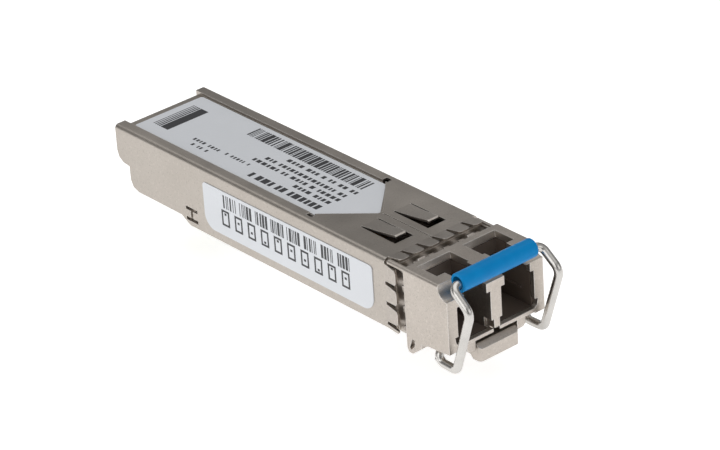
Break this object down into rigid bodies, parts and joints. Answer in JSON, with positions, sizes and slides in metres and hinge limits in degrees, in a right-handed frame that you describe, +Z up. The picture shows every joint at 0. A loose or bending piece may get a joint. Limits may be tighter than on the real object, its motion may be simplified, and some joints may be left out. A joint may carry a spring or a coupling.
{
  "type": "optical transceiver module",
  "caption": "Small pluggable optical transceiver with a duplex LC receptacle, sheet-metal jacket with spring fingers, card-edge tongue and a wire bail that works its latch.",
  "frame": {"origin": "middle of the latch shoulder, where the boss's front face meets the level of the underside", "axes": "+X across the width, +Y towards the rear edge connector, +Z up towards the top label"},
  "size_m": [0.0138, 0.0599, 0.0116],
  "materials": {
    "cast_nickel": "nickel-plated die casting, fine satin grain",
    "jacket_steel": "rolled nickel-plated sheet, satin",
    "wire_steel": "polished stainless wire",
    "blue_pvc": "soft extruded PVC, slight gloss",
    "dark_plastic": "moulded, near black",
    "label_film": "printed polyester film",
    "board_green": "solder mask",
    "contact_gold": "gold flash over nickel",
    "passive_tan": "ceramic chips with tinned ends",
    "chip_black": "moulded epoxy",
    "optic_steel": "turned stainless",
    "ceramic_white": "polished zirconia",
    "flex_amber": "polyimide film",
    "pad_grey": "soft gap pad"
  },
  "bodies": {
    "module": {"base_tray": "cast_nickel", "circuit_board": "board_green", "controller": "chip_black", "crystal": "optic_steel", "gold_contacts": "contact_gold", "laser_driver": "chip_black", "latch_pin": "wire_steel", "latch_spring": "jacket_steel", "limiting_amplifier": "chip_black", "memory": "chip_black", "nose_housing": "cast_nickel", "optics_clamp": "dark_plastic", "passives": "passive_tan", "rear_frame": "cast_nickel", "receiver_can": "optic_steel", "receiver_fibre_stub": "ceramic_white", "receiver_flex": "flex_amber", "receiver_header": "contact_gold", "receiver_nozzle": "optic_steel", "receiver_split_sleeve": "ceramic_white", "receptacle_insert": "dark_plastic", "shield_jacket": "jacket_steel", "shield_plate": "jacket_steel", "side_label": "label_film", "supply_inductors": "chip_black", "thermal_pad": "pad_grey", "top_label": "label_film", "transmitter_can": "optic_steel", "transmitter_fibre_stub": "ceramic_white", "transmitter_flex": "flex_amber", "transmitter_header": "contact_gold", "transmitter_nozzle": "optic_steel", "transmitter_split_sleeve": "ceramic_white", "underside_label": "label_film"},
    "bail": {"bail_wire": "wire_steel", "bail_sleeve": "blue_pvc"},
    "latch": {"latch_lever": "cast_nickel"}
  },
  "joints": [
    {"name": "bail_pivot", "type": "hinge", "parent": "module", "child": "bail", "pos_m": [0, -0.0089, -0.0001], "axis": [1, 0, 0], "range_deg": [0, 90]},
    {"name": "latch_rock", "type": "hinge", "parent": "module", "child": "latch", "pos_m": [0, -0.0055, 0.00044], "axis": [1, 0, 0], "range_deg": [0, 5.2], "deforming": ["latch_spring"]}
  ],
  "couplings": [
    {"joint": "latch_rock", "follows": "bail_pivot", "ratio": 0.057778}
  ]
}
